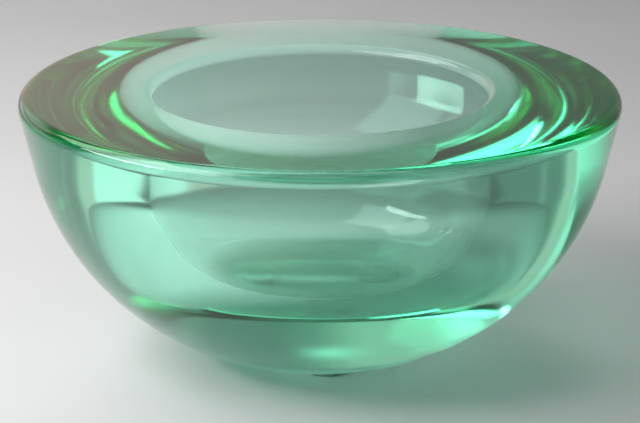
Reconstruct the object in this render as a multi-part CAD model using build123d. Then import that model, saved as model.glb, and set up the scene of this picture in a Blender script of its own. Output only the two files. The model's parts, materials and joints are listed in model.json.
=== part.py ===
from build123d import *
import os
from math import cos, radians, sin, tan

# A thick green glass bowl for a floating candle: a round body with a broad flat rim, a well with a
# straight wall above and a round foot below, and three clear bumper pads under its flat base.
# The axis is Z, the pads stand on z = 0, and the side that faces the viewer is towards -Y.

# Driving dimensions, in millimetres and degrees

# Glass body
BOWL_DIAMETER = 100.0
BOWL_HEIGHT = 43.5
BASE_DIAMETER = 39.0
BASE_EDGE_RADIUS = 1.0
RIM_EDGE_RADIUS = 2.0
WALL_LEAN = 13.0
STRAIGHT_WALL_DEPTH = 11.6

# Well in the glass
WELL_DIAMETER = 55.6
WELL_DEPTH = 26.0
LIP_RADIUS = 1.5
STRAIGHT_WELL_DEPTH = 10.0
WELL_FOOT_WIDTH = 11.0

# Bumper pads under the base
PAD_COUNT = 3
PAD_DIAMETER = 8.0
PAD_HEIGHT = 1.5
PAD_EDGE_RADIUS = 0.8
PAD_INSET = 2.5
FIRST_PAD_ANGLE = -86.0

# Heights above the table that the pieces share
BASE_Z = PAD_HEIGHT
RIM_Z = BASE_Z + BOWL_HEIGHT
FLOOR_Z = RIM_Z - WELL_DEPTH


def rounded(outline, point, radius):
    """Round the corner of a flat outline that lies nearest to a point."""
    corner = outline.vertices().sort_by_distance((*point, 0))[0]
    return fillet(corner, radius)


def turned(outline):
    """Turn a half outline, drawn with its height along Y, into a solid about the Z axis."""
    return revolve(Plane.XZ * outline, Axis.Z)


def rim_corner():
    """Sharp corner of top and wall, set so that the rounded rim reaches just the bowl's diameter."""
    lean = radians(WALL_LEAN)
    touch_x = BOWL_DIAMETER / 2 - RIM_EDGE_RADIUS + RIM_EDGE_RADIUS * cos(lean)
    touch_drop = RIM_EDGE_RADIUS + RIM_EDGE_RADIUS * sin(lean)
    return touch_x + touch_drop * tan(lean), RIM_Z


def well_foot():
    """Quarter of an ellipse from the straight wall of the well in to the edge of its flat floor."""
    centre = (WELL_DIAMETER / 2 - WELL_FOOT_WIDTH, RIM_Z - STRAIGHT_WELL_DEPTH)
    foot_height = WELL_DEPTH - STRAIGHT_WELL_DEPTH
    return EllipticalCenterArc(centre, WELL_FOOT_WIDTH, foot_height, start_angle=-90, arc_size=90)


def glass_bowl():
    """Body with a leaning upper wall, a round lower wall that runs to the flat base, and the well."""
    lean = radians(WALL_LEAN)
    well_radius = WELL_DIAMETER / 2
    base_axis = (0, BASE_Z)
    base_edge = (BASE_DIAMETER / 2, BASE_Z)
    rim = rim_corner()
    wall_end = (rim[0] - STRAIGHT_WALL_DEPTH * tan(lean), RIM_Z - STRAIGHT_WALL_DEPTH)
    lip = (well_radius, RIM_Z)
    foot_start = (well_radius, RIM_Z - STRAIGHT_WELL_DEPTH)
    floor_edge = (well_radius - WELL_FOOT_WIDTH, FLOOR_Z)
    floor_axis = (0, FLOOR_Z)
    edges = [
        Line(base_axis, base_edge),
        TangentArc(wall_end, base_edge, tangent=(-sin(lean), -cos(lean))),
        Line(wall_end, rim),
        Line(rim, lip),
        Line(lip, foot_start),
        well_foot(),
        Line(floor_edge, floor_axis),
        Line(floor_axis, base_axis),
    ]
    outline = make_face(edges)
    outline = rounded(outline, base_edge, BASE_EDGE_RADIUS)
    outline = rounded(outline, rim, RIM_EDGE_RADIUS)
    outline = rounded(outline, lip, LIP_RADIUS)
    return turned(outline)


def bumper_pad():
    """Round pad about the Z axis, flat on top where it sticks to the glass, with a rounded lower edge."""
    radius = PAD_DIAMETER / 2
    foot_edge = (radius, 0)
    outline = make_face(Polyline((0, 0), foot_edge, (radius, PAD_HEIGHT), (0, PAD_HEIGHT), close=True))
    outline = rounded(outline, foot_edge, PAD_EDGE_RADIUS)
    return turned(outline)


def placed_pads():
    """Bumper pads evenly round the base, set in from its edge."""
    circle_radius = BASE_DIAMETER / 2 - PAD_INSET - PAD_DIAMETER / 2
    spots = PolarLocations(circle_radius, PAD_COUNT, start_angle=FIRST_PAD_ANGLE)
    pad = bumper_pad()
    return [spot * pad for spot in spots]


def main():
    """Build each piece and write it as its own node."""
    os.makedirs("parts", exist_ok=True)
    pieces = {"glass_bowl": glass_bowl()}
    for number, pad in enumerate(placed_pads(), start=1):
        pieces[f"bumper_pad_{number}"] = pad
    for node, shape in pieces.items():
        export_step(shape, f"parts/{node}.step")


main()
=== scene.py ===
"""Looks of a thick sea-green glass bowl for a floating candle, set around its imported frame.

Lengths are metres in the frame's axes: the bowl's axis is Z, its pads stand on z = 0 and the viewer is
towards -Y. Directions of light are a bearing, clockwise from +Y as seen from above, and a height above
the horizon, both in degrees.
"""

import json
import logging
import math
from dataclasses import dataclass, field
from enum import Enum
from typing import Any, Mapping, Sequence, Union

import bpy
import numpy as np
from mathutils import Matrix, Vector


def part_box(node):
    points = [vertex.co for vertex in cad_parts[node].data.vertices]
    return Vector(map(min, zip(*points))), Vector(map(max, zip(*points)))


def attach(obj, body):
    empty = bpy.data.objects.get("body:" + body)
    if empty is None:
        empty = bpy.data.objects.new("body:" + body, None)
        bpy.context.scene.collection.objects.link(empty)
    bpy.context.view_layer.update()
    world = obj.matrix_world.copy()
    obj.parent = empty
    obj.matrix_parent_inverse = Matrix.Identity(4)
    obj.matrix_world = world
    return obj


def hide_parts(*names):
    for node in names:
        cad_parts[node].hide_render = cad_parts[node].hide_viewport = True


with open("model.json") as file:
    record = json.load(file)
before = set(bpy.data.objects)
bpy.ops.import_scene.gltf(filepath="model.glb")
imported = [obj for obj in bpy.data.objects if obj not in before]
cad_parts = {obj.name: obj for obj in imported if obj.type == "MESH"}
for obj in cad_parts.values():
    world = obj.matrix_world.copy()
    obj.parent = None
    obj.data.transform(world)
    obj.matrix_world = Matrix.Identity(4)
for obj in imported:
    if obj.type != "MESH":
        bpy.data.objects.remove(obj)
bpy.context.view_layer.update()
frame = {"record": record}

LOG = logging.getLogger("candle_bowl")
BODY = "root"
MM = 0.001
QUARTER = math.pi / 2.0
DEGREES_PER_RADIAN = math.degrees(1.0)

# Light bounces that thick glass needs
LIGHT_BOUNCES = 32

# Power per square metre at which a lamp looks as bright as a sky of strength 1
LAMP_POWER = 4.0

# Numbers of the Mix node's two colour inputs and its colour output
MIX_LOW, MIX_HIGH, MIX_RESULT = 6, 7, 2

Colour = tuple[float, float, float]
Span = tuple[float, float]
Term = Union["Value", float]
Tone = Union["Value", Colour]


class Slot(Enum):
    """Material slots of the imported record."""

    GLASS = "green_glass"
    PAD = "clear_pad"


class Value:
    """A socket of a node tree. Arithmetic on it adds Math nodes to that tree."""

    def __init__(self, nodes: "Nodes", socket: bpy.types.NodeSocket | None) -> None:
        """Keep the tree's builder and the socket."""
        self.nodes = nodes
        self.socket = socket

    def output(self, name: str) -> "Value":
        """Another output of the same node."""
        return Value(self.nodes, self.socket.node.outputs[name])

    def __add__(self, other: Term) -> "Value":
        """Sum."""
        return self.nodes.maths("ADD", self, other)

    def __radd__(self, other: Term) -> "Value":
        """Sum, with this value second."""
        return self.nodes.maths("ADD", other, self)

    def __sub__(self, other: Term) -> "Value":
        """Difference."""
        return self.nodes.maths("SUBTRACT", self, other)

    def __rsub__(self, other: Term) -> "Value":
        """Difference, with this value taken away."""
        return self.nodes.maths("SUBTRACT", other, self)

    def __mul__(self, other: Term) -> "Value":
        """Product."""
        return self.nodes.maths("MULTIPLY", self, other)

    def __rmul__(self, other: Term) -> "Value":
        """Product, with this value second."""
        return self.nodes.maths("MULTIPLY", other, self)

    def __abs__(self) -> "Value":
        """Size without the sign."""
        return self.nodes.maths("ABSOLUTE", self)


class Nodes:
    """Adds nodes to one emptied node tree."""

    def __init__(self, tree: bpy.types.NodeTree) -> None:
        """Empty the tree and keep it."""
        tree.nodes.clear()
        self.tree = tree

    def add(
        self,
        kind: str,
        settings: Mapping[str, Any] | None = None,
        sockets: Mapping[str | int, Any] | None = None,
        output: str | int = 0,
    ) -> Value:
        """Add a node, set it up and feed it.

        Args:
            kind: Blender's name for the node's type.
            settings: The node's own settings, which are set first.
            sockets: Values or links for its input sockets, by name or number.
            output: The output that is returned.

        Returns:
            The chosen output, or an empty value for a node with none.
        """
        node = self.tree.nodes.new(kind)
        for name, setting in (settings or {}).items():
            setattr(node, name, setting)
        for key, value in (sockets or {}).items():
            if isinstance(value, Value):
                self.tree.links.new(value.socket, node.inputs[key])
            else:
                node.inputs[key].default_value = value
        return Value(self, node.outputs[output] if len(node.outputs) else None)

    def maths(self, operation: str, *terms: Term) -> Value:
        """A Math node on the given terms."""
        return self.add("ShaderNodeMath", {"operation": operation}, dict(enumerate(terms)))

    def step(self, value: Term, low: float, high: float, start: float = 0.0, end: float = 1.0) -> Value:
        """Carry a value smoothly from one level to another.

        Args:
            value: What is read.
            low: Reading at which the change starts.
            high: Reading at which it ends.
            start: Result up to low.
            end: Result from high on.

        Returns:
            The result, on an S-shaped curve between the two levels.
        """
        settings = {"interpolation_type": "SMOOTHSTEP"}
        sockets = {"Value": value, "From Min": low, "From Max": high, "To Min": start, "To Max": end}
        return self.add("ShaderNodeMapRange", settings, sockets)

    def blend(self, factor: Term, low: Tone, high: Tone) -> Value:
        """Mix two colours, each a link or a plain colour.

        Args:
            factor: Share of the second colour.
            low: Colour at 0.
            high: Colour at 1.

        Returns:
            The mixed colour.
        """
        plain = [side if isinstance(side, Value) else (*side, 1.0) for side in (low, high)]
        sockets = {"Factor": factor, MIX_LOW: plain[0], MIX_HIGH: plain[1]}
        return self.add("ShaderNodeMix", {"data_type": "RGBA"}, sockets, MIX_RESULT)

    def noise(self, place: Value, size: float, detail: float = 2.0) -> Value:
        """Cloudy pattern from about 0 to 1 with features of a given size in metres."""
        sockets = {"Vector": place, "Scale": 1.0 / size, "Detail": detail}
        return self.add("ShaderNodeTexNoise", {"noise_dimensions": "3D"}, sockets)


def new_material(name: str) -> tuple[bpy.types.Material, Nodes]:
    """Make an empty node material.

    Args:
        name: Name of the finish.

    Returns:
        The material and the builder of its tree.
    """
    material = bpy.data.materials.new(name)
    material.use_nodes = True
    return material, Nodes(material.node_tree)


@dataclass(frozen=True)
class GlassFinish:
    """Clear cast glass, tinted through its thickness, with a soft polish and a slightly uneven skin.

    Of each colour, a path through the glass keeps e to the power of -(1 - kept colour) x density x length.
    """

    name: str = "sea_green_glass"
    refraction: float = 1.5
    kept_colour: Colour = (0.03, 0.91, 0.63)
    density: float = 21.0
    skin: Colour = (1.0, 1.0, 1.0)
    streak: Colour = (0.965, 0.985, 0.975)
    streak_size: float = 14 * MM
    streak_span: Span = (0.45, 0.75)
    flow_size: float = 20 * MM
    flow_height: float = 0.15 * MM
    flow_detail: float = 0.0
    smear_size: float = 9 * MM
    smear_span: Span = (0.55, 0.8)
    smear_detail: float = 4.0
    polish_roughness: float = 0.055
    smear_roughness: float = 0.012

    def material(self) -> bpy.types.Material:
        """Build the finish.

        Returns:
            A material whose skin varies a little in tint, gloss and level, and whose body absorbs
            red first and then blue.
        """
        material, nodes = new_material(self.name)
        place = nodes.add("ShaderNodeTexCoord", output="Object")
        streaks = nodes.step(nodes.noise(place, self.streak_size), *self.streak_span)
        smears = nodes.step(nodes.noise(place, self.smear_size, self.smear_detail), *self.smear_span)
        flow = nodes.noise(place, self.flow_size, self.flow_detail)
        level = nodes.add(
            "ShaderNodeBump",
            sockets={"Strength": 1.0, "Distance": self.flow_height, "Height": flow},
        )
        surface = nodes.add(
            "ShaderNodeBsdfPrincipled",
            sockets={
                "Base Color": nodes.blend(streaks, self.skin, self.streak),
                "Roughness": self.polish_roughness + smears * self.smear_roughness,
                "IOR": self.refraction,
                "Transmission Weight": 1.0,
                "Normal": level,
            },
        )
        body = nodes.add(
            "ShaderNodeVolumeAbsorption",
            sockets={"Color": (*self.kept_colour, 1.0), "Density": self.density},
        )
        nodes.add("ShaderNodeOutputMaterial", sockets={"Surface": surface, "Volume": body})
        return material


@dataclass(frozen=True)
class PadFinish:
    """Soft milky plastic that lets a little light through, with a satin skin that holds some dust."""

    name: str = "clear_soft_pad"
    refraction: float = 1.45
    milky: Colour = (0.93, 0.96, 0.95)
    dusty: Colour = (0.84, 0.87, 0.86)
    clearness: float = 0.15
    dust_size: float = 1.2 * MM
    dust_span: Span = (0.45, 0.75)
    dust_detail: float = 3.0
    grain_size: float = 0.25 * MM
    grain_height: float = 0.02 * MM
    grain_strength: float = 0.6
    roughness_span: Span = (0.18, 0.42)

    def material(self) -> bpy.types.Material:
        """Build the finish.

        Returns:
            A milky material with dusty patches and a fine grain.
        """
        material, nodes = new_material(self.name)
        place = nodes.add("ShaderNodeTexCoord", output="Object")
        dust = nodes.step(nodes.noise(place, self.dust_size, self.dust_detail), *self.dust_span)
        grain = nodes.noise(place, self.grain_size)
        level = nodes.add(
            "ShaderNodeBump",
            sockets={"Strength": self.grain_strength, "Distance": self.grain_height, "Height": grain},
        )
        low, high = self.roughness_span
        surface = nodes.add(
            "ShaderNodeBsdfPrincipled",
            sockets={
                "Base Color": nodes.blend(dust, self.milky, self.dusty),
                "Roughness": low + dust * (high - low),
                "IOR": self.refraction,
                "Transmission Weight": self.clearness,
                "Normal": level,
            },
        )
        nodes.add("ShaderNodeOutputMaterial", sockets={"Surface": surface})
        return material


@dataclass(frozen=True)
class TableFinish:
    """Pale matt table top."""

    name: str = "pale_table"
    pale: Colour = (0.88, 0.88, 0.88)
    worn: Colour = (0.85, 0.85, 0.85)
    cloud_size: float = 60 * MM
    cloud_span: Span = (0.3, 0.7)
    roughness: float = 0.55
    specular: float = 0.2

    def material(self) -> bpy.types.Material:
        """Build the finish.

        Returns:
            A matt material with faint clouds.
        """
        material, nodes = new_material(self.name)
        place = nodes.add("ShaderNodeTexCoord", output="Object")
        clouds = nodes.step(nodes.noise(place, self.cloud_size), *self.cloud_span)
        surface = nodes.add(
            "ShaderNodeBsdfPrincipled",
            sockets={
                "Base Color": nodes.blend(clouds, self.pale, self.worn),
                "Roughness": self.roughness,
                "Specular IOR Level": self.specular,
            },
        )
        nodes.add("ShaderNodeOutputMaterial", sockets={"Surface": surface})
        return material


def arc(centre: Sequence[float], radius: float, start: float, end: float, count: int) -> np.ndarray:
    """Points on an arc in the plane of radius and height.

    Args:
        centre: Its centre.
        radius: Its radius.
        start: First angle in radians, from the outward direction towards up.
        end: Last angle in radians.
        count: Number of points.

    Returns:
        An array of (radius, height) rows: centre plus radius times (cosine, sine) of evenly spaced angles.
    """
    angle = np.linspace(start, end, count)
    return np.stack([centre[0] + radius * np.cos(angle), centre[1] + radius * np.sin(angle)], axis=1)


def run(start: Sequence[float], end: Sequence[float], count: int) -> np.ndarray:
    """Points inside a straight run, closer together towards both ends, without its two ends.

    Args:
        start: First end of the run.
        end: Its other end.
        count: Number of points.

    Returns:
        An array of (radius, height) rows, spaced as half of one less the cosine of even steps.
    """
    share = 0.5 - 0.5 * np.cos(np.pi * np.arange(1, count + 1) / (count + 1))
    first, last = np.asarray(start), np.asarray(end)
    return first + share[:, None] * (last - first)


def turned(profile: np.ndarray, turns: int) -> tuple[np.ndarray, list[list[int]]]:
    """Turn a half outline about Z.

    Each row (radius, height) becomes a ring (radius cos a, radius sin a, height) at even angles a. The
    first and last rows lie on the axis and become single points, which fans of triangles join to their
    rings. Drawn with radius to the right and height up, an outline that keeps the solid on its left gives
    faces that point out of the solid.

    Args:
        profile: Rows of radius and height.
        turns: Points on each ring.

    Returns:
        The vertices, ring by ring and then the two axis points, and the faces.
    """
    rings = profile[1:-1]
    count = len(rings)
    angle = np.linspace(0.0, 2.0 * np.pi, turns, endpoint=False)
    height = np.broadcast_to(rings[:, 1:], (count, turns))
    body = np.stack([rings[:, :1] * np.cos(angle), rings[:, :1] * np.sin(angle), height], axis=-1)
    ends = np.array([[0.0, 0.0, profile[0, 1]], [0.0, 0.0, profile[-1, 1]]])
    vertices = np.concatenate([body.reshape(-1, 3), ends])
    row, column = np.meshgrid(np.arange(count - 1), np.arange(turns), indexing="ij")
    beside = (column + 1) % turns
    here, above = row * turns, (row + 1) * turns
    quads = np.stack([here + column, here + beside, above + beside, above + column], axis=-1)
    step = np.arange(turns)
    after = (step + 1) % turns
    first, last = count * turns, count * turns + 1
    base = (count - 1) * turns
    start_fan = np.stack([np.full(turns, first), after, step], axis=-1)
    end_fan = np.stack([np.full(turns, last), base + step, base + after], axis=-1)
    return vertices, quads.reshape(-1, 4).tolist() + start_fan.tolist() + end_fan.tolist()


def new_piece(name: str, vertices: np.ndarray, faces: list[list[int]]) -> bpy.types.Object:
    """Put a surface into the scene as a smooth mesh at the origin.

    Args:
        name: Name of the piece.
        vertices: Its points.
        faces: Its faces, as lists of point numbers.

    Returns:
        The new object.
    """
    mesh = bpy.data.meshes.new(name)
    mesh.from_pydata(vertices.tolist(), [], faces)
    mesh.polygons.foreach_set("use_smooth", np.ones(len(mesh.polygons), dtype=bool))
    mesh.update()
    piece = bpy.data.objects.new(name, mesh)
    bpy.context.scene.collection.objects.link(piece)
    return piece


def seat(piece: bpy.types.Object, node: str, material: bpy.types.Material) -> None:
    """Dress a piece and let it stand for a node of the frame.

    Args:
        piece: The new piece.
        node: Node that it replaces.
        material: Its finish.
    """
    piece.data.materials.append(material)
    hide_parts(node)
    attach(piece, BODY)
    LOG.info("%s stands for %s: %d faces", piece.name, node, len(piece.data.polygons))


@dataclass(frozen=True)
class BowlRows:
    """Numbers of points along each stretch of the bowl's outline."""

    base: int = 8
    base_edge: int = 10
    lower_wall: int = 60
    upper_wall: int = 14
    rim_edge: int = 16
    rim_top: int = 20
    lip: int = 14
    well_wall: int = 20
    well_foot: int = 48
    well_floor: int = 10


@dataclass
class GlassBowl:
    """The cast glass body: flat rim, leaning upper wall, round lower wall, flat base and the well."""

    node: str = "glass_bowl"
    well_mount: str = "candle_well"
    base_radius: float = 19.5 * MM
    base_edge: float = 1.0 * MM
    rim_edge: float = 2.0 * MM
    wall_lean: float = math.radians(13.0)
    straight_depth: float = 11.6 * MM
    well_depth: float = 26.0 * MM
    lip_radius: float = 1.5 * MM
    straight_well: float = 10.0 * MM
    foot_width: float = 11.0 * MM
    turns: int = 320
    rows: BowlRows = BowlRows()
    finish: GlassFinish = GlassFinish()
    rim_radius: float = field(init=False)
    base_z: float = field(init=False)
    rim_z: float = field(init=False)
    well_radius: float = field(init=False)

    def __post_init__(self) -> None:
        """Take the outer size from the frame and the well's width from its mount."""
        low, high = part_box(self.node)
        self.rim_radius = (high[0] - low[0]) / 2.0
        self.base_z, self.rim_z = low[2], high[2]
        mounts = {mount["name"]: mount for mount in frame["record"]["mounts"]}
        self.well_radius = mounts[self.well_mount]["dims"]["r_mm"] * MM

    def lower_wall(self) -> tuple[np.ndarray, np.ndarray, float]:
        """Find the arc of the lower wall.

        The wall leans in by a fixed angle below the rim's rounding. Where that straight stretch ends,
        an arc takes over along the same direction and runs to the edge of the base. Its radius is the
        square of the chord between those two points over twice the chord's reach towards the arc's centre.

        Returns:
            The end of the straight stretch, the arc's centre and its radius.
        """
        lean = self.wall_lean
        touch = self.rim_radius - self.rim_edge + self.rim_edge * math.cos(lean)
        drop = self.rim_edge + self.rim_edge * math.sin(lean)
        corner = touch + drop * math.tan(lean)
        wall_end = np.array([corner - self.straight_depth * math.tan(lean), self.rim_z - self.straight_depth])
        inward = np.array([-math.cos(lean), math.sin(lean)])
        chord = np.array([self.base_radius, self.base_z]) - wall_end
        radius = float(chord @ chord / (2.0 * chord @ inward))
        return wall_end, wall_end + radius * inward, radius

    def profile(self) -> np.ndarray:
        """Half outline from the axis of the base, up the outside, over the rim and down the well.

        The base's rounding touches the flat base and the lower wall from inside, so its centre lies its own
        radius above the base and its own radius within the arc of the wall.

        Returns:
            Rows of radius and height: straight runs joined by arcs, and a quarter of an ellipse at the
            foot of the well.
        """
        wall_end, centre, radius = self.lower_wall()
        inner = radius - self.base_edge
        rise = self.base_z + self.base_edge - centre[1]
        edge_angle = math.asin(rise / inner)
        edge_centre = (centre[0] + inner * math.cos(edge_angle), self.base_z + self.base_edge)
        wall_angle = math.atan2(*(wall_end - centre)[::-1])
        floor_z = self.rim_z - self.well_depth
        rim_centre = (self.rim_radius - self.rim_edge, self.rim_z - self.rim_edge)
        lip_centre = (self.well_radius + self.lip_radius, self.rim_z - self.lip_radius)
        foot_centre = np.array([self.well_radius - self.foot_width, self.rim_z - self.straight_well])
        foot_reach = np.array([self.foot_width, self.well_depth - self.straight_well])
        rows = self.rows
        base_edge = arc(edge_centre, self.base_edge, -QUARTER, edge_angle, rows.base_edge)
        lower = arc(centre, radius, edge_angle, wall_angle, rows.lower_wall)[1:]
        rim = arc(rim_centre, self.rim_edge, -self.wall_lean, QUARTER, rows.rim_edge)
        lip = arc(lip_centre, self.lip_radius, QUARTER, 2.0 * QUARTER, rows.lip)
        foot = foot_centre + foot_reach * arc((0.0, 0.0), 1.0, 0.0, -QUARTER, rows.well_foot)
        base_axis = np.array([[0.0, self.base_z]])
        floor_axis = np.array([[0.0, floor_z]])
        return np.concatenate([
            base_axis,
            run(base_axis[0], base_edge[0], rows.base),
            base_edge,
            lower,
            run(lower[-1], rim[0], rows.upper_wall),
            rim,
            run(rim[-1], lip[0], rows.rim_top),
            lip,
            run(lip[-1], foot[0], rows.well_wall),
            foot,
            run(foot[-1], floor_axis[0], rows.well_floor),
            floor_axis,
        ])

    def build(self) -> bpy.types.Object:
        """Make the body and dress it.

        Returns:
            The body.
        """
        vertices, faces = turned(self.profile(), self.turns)
        piece = new_piece("cast_glass_body", vertices, faces)
        seat(piece, self.node, self.finish.material())
        return piece


@dataclass
class BumperPads:
    """Stick-on pads under the base: flat on top, a hair below the glass, with a rounded foot."""

    count: int = 3
    node_name: str = "bumper_pad_{}"
    edge_radius: float = 0.8 * MM
    top_edge: float = 0.15 * MM
    air_gap: float = 0.03 * MM
    flat_rows: int = 5
    foot_rows: int = 10
    side_rows: int = 3
    top_edge_rows: int = 6
    turns: int = 64
    finish: PadFinish = PadFinish()

    def profile(self, radius: float, height: float) -> np.ndarray:
        """Half outline of one pad, from the axis of its foot to the axis of its top.

        Args:
            radius: The pad's radius.
            height: Its height.

        Returns:
            Rows of radius and height: straight runs, and quarters of a circle at foot and top.
        """
        foot_centre = (radius - self.edge_radius, self.edge_radius)
        top_centre = (radius - self.top_edge, height - self.top_edge)
        foot = arc(foot_centre, self.edge_radius, -QUARTER, 0.0, self.foot_rows)
        top = arc(top_centre, self.top_edge, 0.0, QUARTER, self.top_edge_rows)
        foot_axis = np.array([[0.0, 0.0]])
        top_axis = np.array([[0.0, height]])
        return np.concatenate([
            foot_axis,
            run(foot_axis[0], foot[0], self.flat_rows),
            foot,
            run(foot[-1], top[0], self.side_rows),
            top,
            run(top[-1], top_axis[0], self.flat_rows),
            top_axis,
        ])

    def build(self) -> list[bpy.types.Object]:
        """Make each pad where its node lies and dress it.

        Returns:
            The pads.
        """
        material = self.finish.material()
        pads = []
        for number in range(1, self.count + 1):
            node = self.node_name.format(number)
            low, high = (np.array(corner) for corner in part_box(node))
            radius, height = (high[0] - low[0]) / 2.0, high[2] - low[2] - self.air_gap
            vertices, faces = turned(self.profile(radius, height), self.turns)
            centre = np.array([(low[0] + high[0]) / 2.0, (low[1] + high[1]) / 2.0, low[2]])
            pad = new_piece(f"clear_pad_{number}", vertices + centre, faces)
            seat(pad, node, material)
            pads.append(pad)
        return pads


@dataclass(frozen=True)
class SoftPanel:
    """A soft-edged panel of light, as seen from the bowl, in degrees."""

    name: str
    bearing: float
    height: float
    half_width: float
    half_height: float
    edge: float
    level: float
    tint: Colour = (1.0, 1.0, 1.0)

    def colour(self) -> Colour:
        """Tint times level."""
        return tuple(self.level * part for part in self.tint)


@dataclass(frozen=True)
class SoftBox:
    """An oblong softbox that faces the bowl from a bearing and height in degrees, with sizes in metres.

    A grid before it narrows its light to a cone of the given spread, in degrees.
    """

    name: str
    bearing: float
    height: float
    distance: float
    width: float
    tall: float
    level: float
    spread: float = 150.0

    def build(self) -> bpy.types.Object:
        """Hang the softbox.

        Its power is lamp power times area times level, times what the grid lets through: one less the
        half spread over its tangent. So the level is the brightness seen straight from the bowl.

        Returns:
            An area lamp of the wanted brightness.
        """
        half = math.radians(self.spread) / 2.0
        grid_share = 1.0 - half / math.tan(half)
        lamp = bpy.data.lights.new(self.name, "AREA")
        lamp.shape = "RECTANGLE"
        lamp.size, lamp.size_y = self.width, self.tall
        lamp.spread = 2.0 * half
        lamp.energy = LAMP_POWER * self.width * self.tall * self.level * grid_share
        box = bpy.data.objects.new(self.name, lamp)
        turn, rise = math.radians(self.bearing), math.radians(self.height)
        away = (math.sin(turn) * math.cos(rise), math.cos(turn) * math.cos(rise), math.sin(rise))
        box.location = [self.distance * part for part in away]
        box.rotation_euler = (QUARTER - rise, 0.0, math.pi - turn)
        bpy.context.scene.collection.objects.link(box)
        return box


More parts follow.
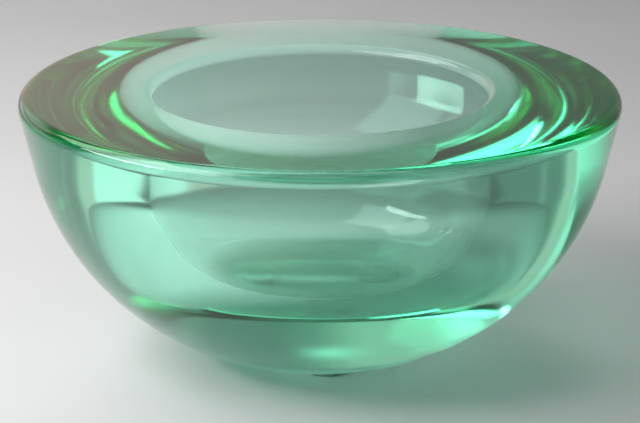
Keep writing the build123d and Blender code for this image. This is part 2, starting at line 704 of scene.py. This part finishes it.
@dataclass
class Studio:
    """Pale table top and the soft light round it."""

    floor_half: float = 1.5
    floor_far: float = 0.5
    floor_z: float = -0.02 * MM
    floor_cells: int = 8
    finish: TableFinish = TableFinish()
    room: Colour = (0.02, 0.02, 0.02)
    panels: tuple[SoftPanel, ...] = (
        SoftPanel("right_panel", bearing=40, height=4, half_width=42, half_height=21, edge=5, level=0.25),
        SoftPanel(
            "rear_panel", bearing=0, height=8, half_width=30, half_height=18, edge=6, level=0.40,
            tint=(1.0, 0.94, 0.90),
        ),
        SoftPanel("rear_shade", bearing=14, height=8, half_width=10, half_height=18, edge=5, level=0.26),
        SoftPanel(
            "warm_panel", bearing=345, height=8, half_width=12, half_height=18, edge=5, level=0.92,
            tint=(1.0, 0.76, 0.73),
        ),
        SoftPanel("rear_left_panel", bearing=322, height=17, half_width=14, half_height=9, edge=5, level=1.4),
        SoftPanel("left_panel", bearing=285, height=4, half_width=25, half_height=9, edge=4, level=0.50),
        SoftPanel("low_left_panel", bearing=312, height=-2, half_width=24, half_height=8, edge=3, level=1.2),
        SoftPanel("high_rear_panel", bearing=350, height=38, half_width=14, half_height=7, edge=4, level=2.4),
        SoftPanel("top_panel", bearing=0, height=90, half_width=180, half_height=14, edge=6, level=0.5),
        SoftPanel("front_panel", bearing=180, height=1, half_width=85, half_height=7, edge=3, level=0.10),
    )
    boxes: tuple[SoftBox, ...] = (
        SoftBox("front_left_box", bearing=240, height=46, distance=0.45, width=0.30, tall=0.26, level=3.0),
        SoftBox("rear_left_box", bearing=290, height=48, distance=0.45, width=0.26, tall=0.24, level=3.0),
        SoftBox("left_strip_box", bearing=258, height=31, distance=0.40, width=0.26, tall=0.03, level=14),
    )

    def floor(self) -> bpy.types.Object:
        """Lay the table top.

        Returns:
            A flat grid from far in front of the bowl to its far edge behind it.
        """
        side = self.floor_cells + 1
        across = np.linspace(-self.floor_half, self.floor_half, side)
        along = np.linspace(-self.floor_half, self.floor_far, side)
        x, y = np.meshgrid(across, along, indexing="ij")
        vertices = np.stack([x, y, np.full_like(x, self.floor_z)], axis=-1).reshape(-1, 3)
        row, column = np.meshgrid(np.arange(side - 1), np.arange(side - 1), indexing="ij")
        corner = row * side + column
        faces = np.stack([corner, corner + side, corner + side + 1, corner + 1], axis=-1).reshape(-1, 4)
        table = new_piece("table_top", vertices, faces.tolist())
        table.data.materials.append(self.finish.material())
        return table

    def light(self) -> bpy.types.World:
        """Make the surroundings: a dim room with soft panels laid over each other in order.

        A panel's share at a direction is a smooth step down from its middle in bearing times one in
        height. The bearing is read from the panel's own middle, so that it never wraps within a panel.

        Returns:
            The world.
        """
        world = bpy.data.worlds.new("studio_light")
        bpy.context.scene.world = world
        world.use_nodes = True
        nodes = Nodes(world.node_tree)
        direction = nodes.add("ShaderNodeTexCoord", output="Generated")
        east = nodes.add("ShaderNodeSeparateXYZ", sockets={"Vector": direction}, output="X")
        north, up = east.output("Y"), east.output("Z")
        height = nodes.maths("ARCSINE", up) * DEGREES_PER_RADIAN
        colour: Tone = self.room
        for panel in self.panels:
            turn = math.radians(panel.bearing)
            aside = east * math.cos(turn) - north * math.sin(turn)
            ahead = east * math.sin(turn) + north * math.cos(turn)
            bearing = abs(nodes.maths("ARCTAN2", aside, ahead)) * DEGREES_PER_RADIAN
            rise = abs(height - panel.height)
            width, tall, edge = panel.half_width, panel.half_height, panel.edge
            share = nodes.step(bearing, width - edge, width + edge, 1.0, 0.0)
            share = share * nodes.step(rise, tall - edge, tall + edge, 1.0, 0.0)
            colour = nodes.blend(share, colour, panel.colour())
        sky = nodes.add("ShaderNodeBackground", sockets={"Color": colour, "Strength": 1.0})
        nodes.add("ShaderNodeOutputWorld", sockets={"Surface": sky})
        return world

    def build(self) -> None:
        """Lay the table and light it."""
        self.floor()
        self.light()
        for box in self.boxes:
            box.build()
        LOG.info("studio: table top, %d soft panels and %d softboxes", len(self.panels), len(self.boxes))


@dataclass
class ViewCamera:
    """Camera at the photograph's viewing angle, aimed so that the rim's centre falls on its pixel row."""

    rim_z: float
    rim_radius: float
    distance_in_radii: float = 9.3
    elevation: float = math.radians(14.97)
    rim_row: float = 87.2
    pixels_per_radius: float = 300.7
    frame_width: float = 640.0
    frame_height: float = 423.0
    sensor_width: float = 36.0

    def build(self) -> bpy.types.Object:
        """Make the camera and give it to the scene.

        Returns:
            The camera's object.
        """
        focal_pixels = self.pixels_per_radius * self.distance_in_radii
        distance = self.distance_in_radii * self.rim_radius
        lens = bpy.data.cameras.new("view_camera")
        lens.sensor_width = self.sensor_width
        lens.lens = focal_pixels / self.frame_width * self.sensor_width
        camera = bpy.data.objects.new("view_camera", lens)
        back, up = distance * math.cos(self.elevation), distance * math.sin(self.elevation)
        camera.location = (0.0, -back, self.rim_z + up)
        pitch = self.elevation + math.atan((self.frame_height / 2.0 - self.rim_row) / focal_pixels)
        camera.rotation_euler = (QUARTER - pitch, 0.0, 0.0)
        bpy.context.scene.collection.objects.link(camera)
        bpy.context.scene.camera = camera
        return camera


def set_scene() -> None:
    """Plain colour and enough light bounces for thick glass."""
    scene = bpy.context.scene
    scene.view_settings.view_transform = "Standard"
    scene.cycles.max_bounces = LIGHT_BOUNCES
    scene.cycles.transmission_bounces = LIGHT_BOUNCES
    scene.cycles.glossy_bounces = LIGHT_BOUNCES
    scene.cycles.use_denoising = True


def main() -> None:
    """Build the bowl, its pads, the studio and the camera."""
    logging.basicConfig(level=logging.INFO, format="%(message)s")
    set_scene()
    bowl = GlassBowl()
    bowl.build()
    BumperPads().build()
    Studio().build()
    ViewCamera(bowl.rim_z, bowl.rim_radius).build()


if __name__ == "__main__":
    main()
